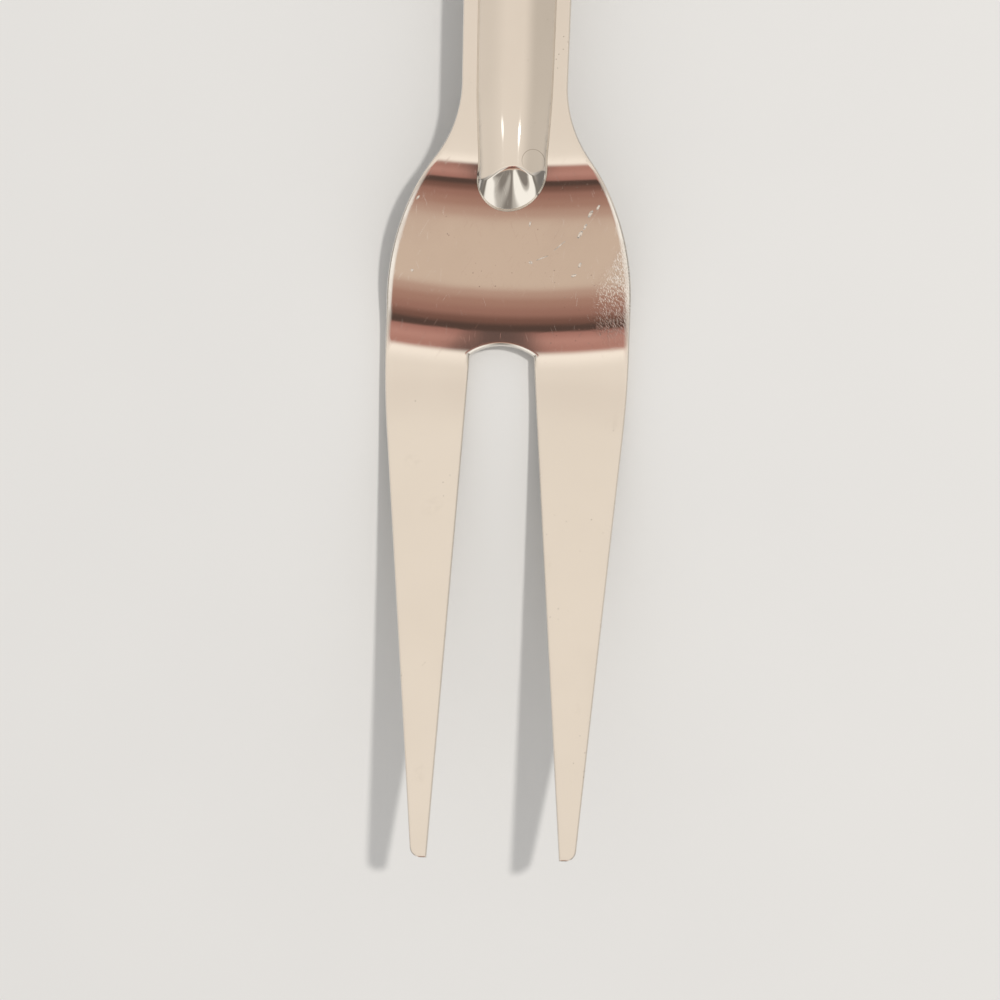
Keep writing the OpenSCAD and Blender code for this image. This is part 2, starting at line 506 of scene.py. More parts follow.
    def gap_distance(self, p: Grid) -> np.ndarray:
        """Distance of plan points from the tine gap.

        It is the distance from the gap's straight side, or near the crotch that from the arch where
        it is farther.

        Args:
            p: points of the plan.

        Returns:
            The distance of each point, negative inside the gap.
        """
        lean = self.gap_half(np.array(-1.0)) - self.gap_half(np.array(0.0))
        x = p[..., 0] - self.slot_mid(p[..., 1])
        side = (x - self.gap_half(p[..., 1])) / np.hypot(1.0, lean)
        arch = np.hypot(x, p[..., 1] + self._crotch_r) - self._crotch_r
        return np.where(p[..., 1] > self.arch_from, np.maximum(side, arch), side)


# Meshes


MERGE_DISTANCE = 2e-7
FLAT_DISTANCE = 1e-8


def weld(name: str, grids: list[Grid], marks: list[np.ndarray] | None = None,
         shift: float = 0.0) -> bpy.types.Object:
    """Makes one closed smooth mesh from several grids of points.

    Args:
        name: name of the object.
        grids: arrays of shape (rows, columns, 3) in mm; neighbours share their border points.
        marks: a value for each point, kept as the attribute "edge".
        shift: move along y in mm.

    Returns:
        The object, with double points merged and normals outward.
    """
    corners, faces, base = [], [], 0
    for grid in grids:
        n, m = grid.shape[:2]
        index = base + np.arange(n * m).reshape(n, m)
        faces.append(np.stack([index[:-1, :-1], index[1:, :-1], index[1:, 1:], index[:-1, 1:]],
                              axis=-1).reshape(-1, 4))
        corners.append(grid.reshape(-1, 3))
        base += n * m
    flat = np.concatenate(corners) + np.array([0.0, shift, 0.0])
    quads = np.concatenate(faces)
    mesh = bpy.data.meshes.new(name)
    mesh.vertices.add(len(flat))
    mesh.vertices.foreach_set("co", (flat * MM).astype(np.float32).ravel())
    mesh.loops.add(quads.size)
    mesh.loops.foreach_set("vertex_index", quads.astype(np.int32).ravel())
    mesh.polygons.add(len(quads))
    mesh.polygons.foreach_set("loop_start", np.arange(0, quads.size, 4, dtype=np.int32))
    mesh.update(calc_edges=True)
    layer = mesh.attributes.new("edge", "FLOAT", "POINT")
    value = np.zeros(len(flat)) if marks is None else np.concatenate([m.ravel() for m in marks])
    layer.data.foreach_set("value", value.astype(np.float32))
    work = bmesh.new()
    work.from_mesh(mesh)
    bmesh.ops.remove_doubles(work, verts=work.verts, dist=MERGE_DISTANCE)
    bmesh.ops.dissolve_degenerate(work, edges=work.edges, dist=FLAT_DISTANCE)
    bmesh.ops.recalc_face_normals(work, faces=work.faces)
    work.to_mesh(mesh)
    work.free()
    mesh.shade_smooth()
    obj = bpy.data.objects.new(name, mesh)
    bpy.context.scene.collection.objects.link(obj)
    LOG.info("%s: %d points, %d faces", name, len(mesh.vertices), len(mesh.polygons))
    return obj


# Shader maths


class Socket:
    """A shader output; the arithmetic operators add Math nodes to its tree."""

    def __init__(self, tree: "Tree", socket: bpy.types.NodeSocket | None) -> None:
        """Wraps a socket of the tree."""
        self.tree = tree
        self.socket = socket

    def _math(self, operation: str, *values: Value) -> "Socket":
        """Adds a Math node with the operation on the values."""
        return self.tree.add("ShaderNodeMath", {"operation": operation}, dict(enumerate(values)))

    def __add__(self, other: Value) -> "Socket":
        """Sum."""
        return self._math("ADD", self, other)

    __radd__ = __add__

    def __sub__(self, other: Value) -> "Socket":
        """Difference."""
        return self._math("SUBTRACT", self, other)

    def __rsub__(self, other: Value) -> "Socket":
        """Difference with the socket on the right."""
        return self._math("SUBTRACT", other, self)

    def __mul__(self, other: Value) -> "Socket":
        """Product."""
        return self._math("MULTIPLY", self, other)

    __rmul__ = __mul__

    def __truediv__(self, other: Value) -> "Socket":
        """Quotient."""
        return self._math("DIVIDE", self, other)

    def __rtruediv__(self, other: Value) -> "Socket":
        """Quotient with the socket on the right."""
        return self._math("DIVIDE", other, self)

    def __pow__(self, other: Value) -> "Socket":
        """Power."""
        return self._math("POWER", self, other)

    def __abs__(self) -> "Socket":
        """Size without the sign."""
        return self._math("ABSOLUTE", self)

    def clamp(self, low: float = 0.0, high: float = 1.0) -> "Socket":
        """Value kept between two bounds."""
        return self._math("MINIMUM", self._math("MAXIMUM", self, low), high)

    def step(self, low: float, high: float) -> "Socket":
        """Soft step from 0 at low to 1 at high.

        Args:
            low: value at which the step is 0; it may be the larger one.
            high: value at which it is 1.

        Returns:
            The step.
        """
        if low > high:
            return 1.0 - self.step(high, low)
        return self.tree.add("ShaderNodeMapRange", {"interpolation_type": "SMOOTHSTEP"},
                             {"Value": self, "From Min": low, "From Max": high})


@dataclass(frozen=True)
class Mark:
    """A small oval mark on a surface.

    Its middle, length and width are in mm of the shared frame, and its turn is in degrees.
    """

    x: float
    y: float
    length: float
    width: float
    turn: float = 0.0


@dataclass(frozen=True)
class Grain:
    """A noise pattern on a surface.

    Waves are per metre along x, y and z, the turn is about z in degrees, the move is in metres along
    x and y, and the cut holds the limits of a soft step.
    """

    waves: Vector
    turn: float = 0.0
    detail: float = 2.0
    rough: float = 0.5
    cut: Pair | None = None
    move: float = 0.0


class Tree:
    """A node tree that is filled through one method."""

    def __init__(self, nodes: bpy.types.NodeTree) -> None:
        """Empties the tree and keeps it."""
        self.nodes = nodes
        self.nodes.nodes.clear()

    def add(self, kind: str, settings: dict[str, Any] | None = None,
            inputs: dict[Union[str, int], Any] | None = None, out: Union[str, int] = 0) -> Socket:
        """Adds a node.

        Args:
            kind: type of the node.
            settings: properties, set before the sockets.
            inputs: values or links of its sockets, by name or number.
            out: name or number of the output that is returned.

        Returns:
            The wrapped output.
        """
        node = self.nodes.nodes.new(kind)
        for key, value in (settings or {}).items():
            setattr(node, key, value)
        for key, value in (inputs or {}).items():
            if isinstance(value, Socket):
                self.nodes.links.new(value.socket, node.inputs[key])
            else:
                node.inputs[key].default_value = value
        return Socket(self, node.outputs[out] if len(node.outputs) else None)

    def place(self) -> Socket:
        """Object coordinates in metres."""
        return self.add("ShaderNodeTexCoord", out="Object")

    def xyz(self, vector: Socket) -> tuple[Socket, ...]:
        """The three parts of a vector."""
        parts = self.add("ShaderNodeSeparateXYZ", None, {0: vector}).socket.node.outputs
        return tuple(Socket(self, part) for part in parts)

    def vector(self, operation: str, first: Any, second: Any, out: Union[str, int] = 0) -> Socket:
        """Vector Math node with the operation on two vectors."""
        return self.add("ShaderNodeVectorMath", {"operation": operation}, {0: first, 1: second}, out)

    def grain(self, place: Socket, kind: Grain) -> Socket:
        """Noise of a grain, on the place turned about z and then stretched.

        Args:
            place: object coordinates.
            kind: the grain.

        Returns:
            The noise between 0 and 1, through the grain's soft step if it has one.
        """
        spin, shift = (0, 0, math.radians(kind.turn)), (kind.move, kind.move, 0)
        turned = self.add("ShaderNodeMapping", None, {"Vector": place, "Rotation": spin, "Location": shift})
        noise = self.add("ShaderNodeTexNoise", None,
                         {"Vector": self.vector("MULTIPLY", turned, kind.waves), "Scale": 1.0,
                          "Detail": kind.detail, "Roughness": kind.rough})
        return noise.step(*kind.cut) if kind.cut else noise

    def cells(self, place: Socket, waves: float, cut: Pair) -> Socket:
        """Round spots at the middles of random cells, as a soft step of the distance from them."""
        far = self.add("ShaderNodeTexVoronoi", None, {"Vector": place, "Scale": waves}, "Distance")
        return far.step(*cut)

    def mix(self, share: Value, first: Any, second: Any) -> Socket:
        """Blend of two colours."""
        pick = [c if isinstance(c, Socket) else (*c, 1.0) for c in (first, second)]
        return self.add("ShaderNodeMix", {"data_type": "RGBA"}, {0: share, 6: pick[0], 7: pick[1]}, 2)

    def ramp(self, value: Socket, stops: Stops) -> Socket:
        """Colour that passes softly from stop to stop as the value rises.

        Args:
            value: what the stops are given in.
            stops: values with their colours, which may be sockets, in rising order.

        Returns:
            The colour.
        """
        tone = stops[0][1]
        for (low, _), (high, colour) in zip(stops, stops[1:]):
            tone = self.mix(value.step(low, high), tone, colour)
        return tone

    def away(self, place: Socket, mark: Mark) -> Socket:
        """Vector from the middle of a mark."""
        return self.vector("SUBTRACT", place, (mark.x * MM, mark.y * MM, 0.0))

    def spot(self, away: Socket, mark: Mark, soft: float) -> Socket:
        """Oval spot of a mark, seen along z.

        The squares of both distances along its axes, each over half the axis, are added up and pass
        a soft step.

        Args:
            away: vector from its middle.
            mark: the mark.
            soft: share of the spot over which it fades at its rim.

        Returns:
            1 in its middle and 0 outside.
        """
        c, d = math.cos(math.radians(mark.turn)), math.sin(math.radians(mark.turn))
        long, wide = 2 / mark.length / MM, 2 / mark.width / MM
        u = self.vector("DOT_PRODUCT", away, (c * long, d * long, 0.0), "Value")
        v = self.vector("DOT_PRODUCT", away, (-d * wide, c * wide, 0.0), "Value")
        return (u * u + v * v).step(1.0, 1.0 - soft)

    def spots(self, place: Socket, marks: Sequence[Mark], soft: float) -> Value:
        """All spots of a set of marks together."""
        return sum((self.spot(self.away(place, mark), mark, soft) for mark in marks), 0.0)

    def bump(self, height: Socket, distance: float) -> Socket:
        """Normal tilted by a height given as a share of the distance in metres."""
        return self.add("ShaderNodeBump", None, {"Height": height, "Strength": 1.0, "Distance": distance})


def new_material(name: str) -> tuple[bpy.types.Material, Tree]:
    """An empty material and its tree.

    Args:
        name: name of the material.

    Returns:
        Both of them.
    """
    material = bpy.data.materials.new(name)
    material.use_nodes = True
    return material, Tree(material.node_tree)


def surface(tree: Tree, sockets: dict[str, Any]) -> None:
    """Ends a tree with one principled shader of the given sockets."""
    shader = tree.add("ShaderNodeBsdfPrincipled", None, sockets)
    tree.add("ShaderNodeOutputMaterial", None, {"Surface": shader})


# Finishes


# Noise patterns of the steel, by the layer that they make
STEEL_GRAINS = {
    "patch": Grain((55.0,) * 3, 0.0, 3.0, 0.55, (0.35, 0.7)),
    "smudge": Grain((90.0, 60.0, 90.0), 24.0, 4.0, 0.6, (0.52, 0.74)),
    "wave": Grain((190.0, 110.0, 150.0), 15.0, 1.0, 0.3),
    "wheel": Grain((5200.0, 210.0, 900.0), 4.0, 2.0, 0.6),
    "pitted": Grain((130.0,) * 3, 0.0, 1.0, 0.5, (0.56, 0.66)),
    "worn": Grain((420.0,) * 3, 0.0, 3.0, 0.65, (0.35, 0.7)),
    "chips": Grain((5200.0,) * 3, 0.0, 2.0, 0.6, (0.36, 0.48)),
    "grit": Grain((9500.0, 2600.0, 5000.0), -35.0, 2.0, 0.5, (0.44, 0.76)),
    "blotch": Grain((1100.0,) * 3, 0.0, 4.0, 0.7, (0.4, 0.65))}
HAIRLINE_WAVES = (9000.0, 420.0, 420.0)
HAIRLINES = (Grain(HAIRLINE_WAVES, 32.0, 1.0, 0.4, (0.72, 0.77), 0.013),
             Grain(HAIRLINE_WAVES, -21.0, 1.0, 0.4, (0.73, 0.78), 0.047),
             Grain(HAIRLINE_WAVES, 4.0, 1.0, 0.4, (0.73, 0.78), 0.031))
# Shares of the layers in the dull tone, the painted glint tone, the soil, the roughness and the height
DULLS = {"patch": 0.4, "smudge": 0.3, "scuff": 0.5, "stain": 0.35}
# share of the scuffs' grit in the near-white painted glint tone
PAINTED_GLINTS = {"grit_and_painted_glint": 0.45}
SOILS = {"pits": 0.5, "drops": 0.45, "grime": 0.6}
ROUGHENS = {"lines": 0.06, "wear": 0.10, "pits": 0.2, "wheel": 0.02, "knocks": 0.04, "grit_and_painted_glint": 0.12,
            "drops": 0.10, "edge": 0.10, "grime": 0.4}
RAISES = {"wheel": 0.06, "lines": -0.4, "pits": -0.8, "grit_and_painted_glint": 1.9}


@dataclass(frozen=True)
class PolishedSteel:
    """Mirror-polished steel with fine lines from the wheel, hairlines, knocks, scuffs and haze.

    Depth is the unit of its heights in metres. Firm, soft and grime_soft are the shares of a mark over
    which it fades at its rim. The grit in the scuffs is also whitened in the colour, a painted glint.
    """

    name: str
    tone: Colour = (0.80, 0.768, 0.725)
    dull: Colour = (0.735, 0.70, 0.655)
    # near-white colour of the scuffs' grit: a painted glint
    painted_glint_tone: Colour = (0.98, 0.96, 0.93)
    soil: Colour = (0.22, 0.18, 0.13)
    gloss: float = 0.045
    haze: float = 0.05
    rough_limits: Pair = (0.03, 0.6)
    depth: float = 2.0e-6
    ripple: float = 7.0
    lean: float = 0.45
    pit_waves: float = 1300.0
    pit_cut: Pair = (0.12, 0.04)
    ring_fade: Pair = (-0.9, 0.3)
    firm: float = 0.5
    soft: float = 0.95
    grime_soft: float = 0.6
    knocks: tuple[Mark, ...] = ()
    scuffs: tuple[Mark, ...] = ()
    drops: tuple[Mark, ...] = ()
    stains: tuple[Mark, ...] = ()
    grime: tuple[Mark, ...] = ()

    def facets(self, tree: Tree, place: Socket) -> Value:
        """Height of the knocks: each is a small flat that leans towards the handle.

        Args:
            tree: tree of the material.
            place: object coordinates.

        Returns:
            The height in metres.
        """
        height: Value = 0.0
        for mark in self.knocks:
            away = tree.away(place, mark)
            slant = tree.vector("DOT_PRODUCT", away, (0.0, -self.lean, 0.0), "Value")
            height = tree.spot(away, mark, self.firm) * slant + height
        return height

    def ring(self, tree: Tree, place: Socket, mark: Mark) -> Socket:
        """Rim of a dried drop: a thin circle that fades towards the tines.

        Args:
            tree: tree of the material.
            place: object coordinates.
            mark: the drop, its radius as length and its rim as width.

        Returns:
            1 on the rim and 0 elsewhere.
        """
        x, y, _ = tree.xyz(tree.away(place, mark))
        radius = mark.length * MM
        rim = abs((x * x + y * y) ** 0.5 - radius).step(mark.width * MM, 0.0)
        return rim * y.step(self.ring_fade[0] * radius, self.ring_fade[1] * radius)

    def layers(self, tree: Tree) -> dict[str, Value]:
        """Everything that varies over the steel.

        Args:
            tree: tree of the material.

        Returns:
            The layers by name, each between 0 and 1 except the height of the facets.
        """
        place = tree.place()
        layer: dict[str, Value] = {name: tree.grain(place, kind) for name, kind in STEEL_GRAINS.items()}
        layer["lines"] = sum((tree.grain(place, kind) for kind in HAIRLINES), 0.0).clamp()
        layer["edge"] = tree.add("ShaderNodeAttribute", {"attribute_name": "edge"}, out="Fac")
        layer["pits"] = tree.cells(place, self.pit_waves, self.pit_cut) * layer["pitted"]
        layer["wear"] = layer["edge"] * layer["worn"]
        layer["knocks"] = tree.spots(place, self.knocks, self.firm)
        layer["facets"] = layer["chips"] * self.facets(tree, place) / self.depth
        layer["scuff"] = tree.spots(place, self.scuffs, self.soft)
        # grit in the scuffs: real roughness and bump, and also a painted glint in the colour
        layer["grit_and_painted_glint"] = layer["scuff"] * layer["grit"]
        layer["stain"] = tree.spots(place, self.stains, self.soft) * layer["blotch"]
        layer["grime"] = tree.spots(place, self.grime, self.grime_soft)
        layer["drops"] = sum((self.ring(tree, place, drop) for drop in self.drops), 0.0)
        return layer

    def build(self) -> bpy.types.Material:
        """Makes the material: layers times their shares give its tone with a painted glint, roughness and
        height.

        Returns:
            The material.
        """
        material, tree = new_material(self.name)
        layer = self.layers(tree)

        def weigh(shares: dict[str, float]) -> Socket:
            """Sum of the layers, each times its share."""
            return sum((layer[name] * share for name, share in shares.items()), 0.0)

        tone = tree.mix(weigh(DULLS), self.tone, self.dull)
        # the scuffs' grit is mixed towards near-white: a painted glint
        tone = tree.mix(weigh(PAINTED_GLINTS).clamp(), tone, self.painted_glint_tone)
        tone = tree.mix(weigh(SOILS).clamp(), tone, self.soil)
        rough = self.gloss + layer["smudge"] * self.haze + weigh(ROUGHENS)
        height = layer["wave"] * self.ripple + layer["facets"] + weigh(RAISES)
        surface(tree, {"Base Color": tone, "Roughness": rough.clamp(*self.rough_limits), "Metallic": 1.0,
                       "Normal": tree.bump(height, self.depth)})
        return material


@dataclass(frozen=True)
class BrazeMetal:
    """Dull solder in the corner between shell and plate, with dark dirt in it."""

    name: str = "braze_line"
    tone: Colour = (0.78, 0.73, 0.66)
    dull: Colour = (0.64, 0.58, 0.50)
    dirt: Colour = (0.06, 0.04, 0.03)
    grain: Grain = Grain((900.0,) * 3, 0.0, 3.0, 0.6)
    specks: Grain = Grain((420.0,) * 3, 0.0, 2.0, 0.6, (0.66, 0.72))
    gloss: float = 0.28
    dirt_rough: float = 0.5
    dirt_cover: float = 0.9
    depth: float = 2.0e-5

    def build(self) -> bpy.types.Material:
        """Makes the material: a mottled metal under specks of dirt.

        Returns:
            The material.
        """
        material, tree = new_material(self.name)
        place = tree.place()
        grain, specks = tree.grain(place, self.grain), tree.grain(place, self.specks)
        surface(tree, {"Base Color": tree.mix(specks, tree.mix(grain, self.tone, self.dull), self.dirt),
                       "Roughness": self.gloss + specks * self.dirt_rough,
                       "Metallic": 1.0 - specks * self.dirt_cover, "Normal": tree.bump(grain, self.depth)})
        return material


@dataclass(frozen=True)
class CastResin:
    """Grainy filler with mineral flecks and small bubbles."""

    name: str = "filler_resin"
    tone: Colour = (0.45, 0.38, 0.30)
    fleck: Colour = (0.24, 0.19, 0.15)
    grain: Grain = Grain((700.0,) * 3, 0.0, 4.0, 0.6)
    flecks: Grain = Grain((1600.0,) * 3, 0.0, 2.0, 0.5, (0.58, 0.68))
    shares: Pair = (0.5, 0.4)
    bubble_waves: float = 800.0
    bubble_cut: Pair = (0.2, 0.1)
    gloss: float = 0.75
    dull: float = 0.15
    depth: float = 1.0e-4

    def build(self) -> bpy.types.Material:
        """Makes the material: grain and flecks in its tone, grain and bubbles in its height.

        Returns:
            The material.
        """
        material, tree = new_material(self.name)
        place = tree.place()
        grain, flecks = tree.grain(place, self.grain), tree.grain(place, self.flecks)
        bubbles = tree.cells(place, self.bubble_waves, self.bubble_cut)
        tone = tree.mix(grain * self.shares[0] + flecks * self.shares[1], self.tone, self.fleck)
        surface(tree, {"Base Color": tone, "Roughness": self.gloss + grain * self.dull,
                       "Normal": tree.bump(grain - bubbles, self.depth)})
        return material


# Pieces


@dataclass
class Blade:
    """Tines, head, stem and tang in one bent plate with rounded edges."""

    sizes: ForkSizes
    profile: SideProfile
    edge_r: float = 0.22
    arch_r: float = 0.45
    arch_zone: Pair = (-2.6, -1.2)
    tip_edge_r: float = 0.20
    worn_zone: Pair = (0.12, 0.6)
    inner_band: float = 1.8
    inner_share: float = 0.3
    edge_share: float = 0.42
    inner_n: int = 15
    turn_n: int = 7
    field_n: int = 18
    wall_n: int = 4

    def _shares(self, width: np.ndarray) -> Grid:
        """Shares of each row's width at which points lie.

        The points crowd at both ends as one minus the cosine of an even angle, over a band at the
        inner line and over the edge's radius at the outer one, and are even in between.

        Args:
            width: width of each row.

        Returns:
            An array of shape (rows, points).
        """
        first = (np.minimum(self.inner_band, self.inner_share * width) / width)[:, None]
        last = (np.minimum(self.edge_r, self.edge_share * width) / width)[:, None]
        start = 1 - np.cos(np.linspace(0, math.pi / 2, self.inner_n))
        end = 1 - np.cos(np.linspace(math.pi / 2, 0, self.turn_n))
        even = between(0, 1, self.field_n)
        return np.concatenate([first * start, first + (1 - first - last) * even, 1 - last * end], axis=1)

    @staticmethod
    def fall(away: np.ndarray, r: Union[float, np.ndarray]) -> np.ndarray:
        """Fall of a quarter round of radius r at a distance from its edge."""
        return r - np.sqrt(r ** 2 - (r - np.clip(away, 0, r)) ** 2)

    def half(self, plan: PlanOutline) -> tuple[list[Grid], list[np.ndarray]]:
        """One half of the plate.

        A point of the strip lies on the line between its inner and outer point. The front is the
        profile's height, lowered near an edge by a quarter round of the distance from that edge. The
        back is its counterpart, and straight walls join both along every edge.

        Args:
            plan: outline of the half.

        Returns:
            The grids of points, and for each the nearness of its points to an edge.
        """
        inner, outer = plan.inner, plan.outer
        share = self._shares(np.linalg.norm(outer - inner, axis=1))[..., None]
        at = inner[:, None] + (outer - inner)[:, None] * share
        x, y = at[..., 0], at[..., 1]
        rim = np.einsum("ijk,ik->ij", at - outer[:, None], plan.inward)
        gap, tip = plan.gap_distance(at), y + self.sizes.tine_l
        gap_r = self.edge_r + (self.arch_r - self.edge_r) * smooth(*self.arch_zone, y)
        fall = np.maximum.reduce([self.fall(rim, self.edge_r), self.fall(gap, gap_r),
                                  self.fall(tip, self.tip_edge_r)])
        front = points(x, y, self.profile.front(x, y) - fall)
        back = points(x, y, self.profile.back(x, y) + fall)
        near = np.clip(np.minimum.reduce([rim, gap, tip]), 0, None)
        rims = [(front[:, -1], back[:, -1]), (front[0], back[0])]
        rims += [(front[a:b + 1, 0], back[a:b + 1, 0]) for a, b in plan.edge_runs]
        down = np.linspace(0, 1, self.wall_n + 1)[:, None, None]
        walls = [top + (bottom - top) * down for top, bottom in rims]
        edge = 1 - smooth(*self.worn_zone, near)
        grids = [grid * np.array([plan.hand.value, 1.0, 1.0]) for grid in (front, back, *walls)]
        return grids, [edge, edge] + [np.ones(wall.shape[:2]) for wall in walls]

    def build(self) -> bpy.types.Object:
        """Makes the plate from its right and left half."""
        right, left = (self.half(PlanOutline(self.sizes, hand)) for hand in Hand)
        return weld("blade", right[0] + left[0], right[1] + left[1], self.sizes.shift)


class Side(Enum):
    """The two faces of the tang."""

    FRONT = "front"
    BACK = "back"


@dataclass(frozen=True)
class Bell:
    """A bell curve: its height, the place of its middle and its spread."""

    height: float
    middle: float
    spread: float

    def at(self, u: np.ndarray) -> np.ndarray:
        """Height times the exponential of minus the square of the distance over the spread."""
        return self.height * np.exp(-((u - self.middle) / self.spread) ** 2)


@dataclass(frozen=True)
class Flute:
    """One cosine of the nose's flutes: its height, waves per radian and start in radians."""

    height: float
    waves: float
    start: float

    def at(self, turn: np.ndarray) -> np.ndarray:
        """Height of the wave at an angle about the nose's peak."""
        return self.height * np.cos(self.waves * turn + self.start)


@dataclass
class HandleShell:
    """One domed pressing on the tang, with a creased nose, and the solder along its foot.

    Fields that end in n are counts of rows or columns. The blur of the crease is given in rows: the
    least one, and what the crease adds to it.
    """

    sizes: ForkSizes
    profile: SideProfile
    side: Side
    round_n: int = 81
    face_n: int = 18
    crease_n: int = 16
    near_n: int = 24
    far_n: int = 88
    butt_n: int = 30
    crease_step: float = 0.07
    crease_share: float = 0.22
    crease_blur: Pair = (0.05, 2.4)
    pushes: tuple[Bell, ...] = (Bell(1.25, -0.8, 0.45), Bell(0.65, 0.55, 0.26))
    seat_limit: float = 0.9
    nose_set: float = 0.6
    nose_l: float = 4.15
    nose_squeeze: float = 0.12
    squeeze_zone: Pair = (-4.0, 9.0)
    nose_blend: float = 9.0
    nose_swell: float = 0.10
    inside_back: float = 0.4
    inside_short: float = 1.1
    fan_back: float = 0.6
    fan_depth: float = 0.035
    flutes: tuple[Flute, ...] = (Flute(1.0, 5.0, 0.5), Flute(0.6, 9.0, -0.6))
    worn_zone: Pair = (0.8, 1.0)
    solder_n: int = 6
    solder_w: float = 0.11
    solder_fill: float = 0.02
    solder_sink: float = 0.12
    solder_under: float = 0.05

    @property
    def nose_s(self) -> float:
        """Length at which the bar's top breaks into the face of the nose."""
        front, back = -self.nose_set - self.sizes.nose_reach, self.nose_set + self.sizes.back_start
        return front if self.side is Side.FRONT else back

    def seat_fall(self, s: np.ndarray) -> np.ndarray:
        """Fall of the plate under the handle's straight seat, on the round bend of the neck.

        Args:
            s: lengths along the handle.

        Returns:
            The fall at each length, none on the back.
        """
        if self.side is Side.BACK:
            return np.zeros_like(s)
        r = self.sizes.neck_r
        bend = np.clip(-s, 0, self.seat_limit * r)
        return r - np.sqrt(r ** 2 - bend ** 2)

    def section(self, s: Grid, across: np.ndarray, inset: float) -> Grid:
        """Points of the round in the handle's frame (across, along, up from the seat's line).

        At each length the round is an arc from foot to foot about an axis under the plate. Its radius
        grows evenly along the grip and is that of a ball beyond it. The outside narrows at the nose.

        Args:
            s: lengths of the points, one row per station.
            across: place of each column between both feet, -1 to 1.
            inset: wall taken off the round.

        Returns:
            An array of shape (stations, columns, 3).
        """
        k = self.sizes
        beyond = np.clip(s - k.grip_l, 0, None)
        r = k.grip_r(np.minimum(s, k.grip_l)) - inset
        r = np.sqrt(r ** 2 - beyond ** 2)
        angle = across * np.arccos(np.clip((k.dome_c - self.seat_fall(s)) / r, -1, 1))
        squeeze = 0.0 if inset else self.nose_squeeze
        narrow = 1 - squeeze * (1 - smooth(*self.squeeze_zone, s - self.nose_s))
        return points(r * np.sin(angle) * narrow, s, r * np.cos(angle) - k.dome_c)

    def bar(self, top: float, inset: float) -> Grid:
        """The bar from the crease to the butt, in the handle's frame.

        Its rows start at the crease, whose shoulders the press pushed towards the tips by two bells
        over the width, and straighten on the way to the butt, where they end on a ball.

        Args:
            top: length at which the crease lies.
            inset: wall taken off the outside.

        Returns:
            An array of shape (rows, columns, 3).
        """
        k = self.sizes
        u = np.linspace(-1, 1, self.round_n)
        push = sum(bell.at(u) for bell in self.pushes)
        crease = self.crease_n * self.crease_step
        ahead = np.append(np.arange(self.crease_n) * self.crease_step,
                          np.linspace(crease, self.nose_blend, self.near_n))[:, None]
        near = ahead + top - push * (1 - smooth(0.0, self.nose_blend, ahead))
        ball = k.butt_r - inset
        butt = k.grip_l + ball * np.sin(np.linspace(0, math.acos(k.dome_c / ball), self.butt_n))
        far = np.append(between(top + self.nose_blend, k.grip_l, self.far_n), butt)
        straight = np.repeat(far[:, None], self.round_n, axis=1)
        return self.section(np.concatenate([near, straight]), u, inset)

    def face(self, crease: Grid, top: float, inset: float) -> Grid:
        """The face of the nose, in the handle's frame.

        It is spanned by straight lines from the crease to a half oval rim on the plate, swelled by a
        sine along the line and fluted by cosines of the angle about the crease's peak.

        Args:
            crease: points of the bar's first row.
            top: length at which the crease lies.
            inset: wall taken off the outside.

        Returns:
            An array of shape (rows, columns, 3), from the rim up.
        """
        phi = np.linspace(-1, 1, self.round_n) * math.pi / 2
        share = (1 + np.sin(phi)) / 2
        width = -crease[0, 0] * (1 - share) + crease[-1, 0] * share
        foot = crease[0, 1] * (1 - share) + crease[-1, 1] * share
        tip = foot[self.round_n // 2] - top + self.nose_l - self.inside_short * inset
        rim_s = foot - tip * np.cos(phi)
        rim = points(width * np.sin(phi), rim_s, -self.seat_fall(rim_s))
        t = np.append(np.linspace(1, self.crease_share, self.face_n),
                      between(self.crease_share, 0, self.crease_n - 2))[:, None]
        face = crease + (rim - crease) * t[..., None]
        turn = np.arctan2(face[..., 0], top + self.fan_back - face[..., 1])
        flute = sum(wave.at(turn) for wave in self.flutes)
        face[..., 2] += (self.nose_swell + self.fan_depth * flute) * np.cos(phi) * np.sin(math.pi * t)
        return face

    def dome(self, inset: float) -> Grid:
        """The whole pressing in the bench frame, from the rim of the nose to the butt.

        A Gauss blur over the rows, widest at the crease, rounds it.

        Args:
            inset: wall taken off the outside.

        Returns:
            An array of shape (rows, columns, 3).
        """
        top = self.nose_s + self.inside_back * inset
        bar = self.bar(top, inset)
        face = self.face(bar[0], top, inset)
        grid = np.concatenate([face, bar])
        row = np.arange(len(grid))
        close = np.clip(1 - np.abs(row - len(face)) / self.crease_n, 0, 1)
        spread = self.crease_blur[0] + self.crease_blur[1] * smooth(0.0, 1.0, close)
        blur = np.exp(-0.5 * ((row[:, None] - row) / spread[:, None]) ** 2)
        return self.to_bench(np.einsum("ij,jkl->ikl", blur / blur.sum(axis=1, keepdims=True), grid))

    def to_bench(self, grid: Grid) -> Grid:
        """Points turned by the handle's fall and moved to the end of the neck.

        Args:
            grid: points in the handle's frame.

        Returns:
            The points in the bench frame.
        """
        k = self.sizes
        x, s, h = np.moveaxis(grid, -1, 0)
        c, d = math.cos(k.drop), math.sin(k.drop)
        if self.side is Side.BACK:
            h = -k.plate_t - h
        return points(x, k.neck_end[0] + s * c + h * d, k.neck_end[1] - s * d + h * c)

    def build(self, name: str) -> bpy.types.Object:
        """Makes the hollow pressing: its outside, its inside and the foot that joins them.

        Args:
            name: name of the piece.

        Returns:
            The piece.
        """
        outside, inside = self.dome(0.0), self.dome(self.sizes.shell_wall)
        foot = [np.stack([outside[cut], inside[cut]]) for cut in (np.s_[:, 0], np.s_[:, -1], np.s_[0])]
        across = np.abs(np.linspace(-1, 1, self.round_n))
        mark = np.broadcast_to(smooth(*self.worn_zone, across), outside.shape[:2])
        marks = [mark, 0 * mark] + [np.ones(strip.shape[:2]) for strip in foot]
        return weld(name, [outside, inside, *foot], marks, self.sizes.shift)

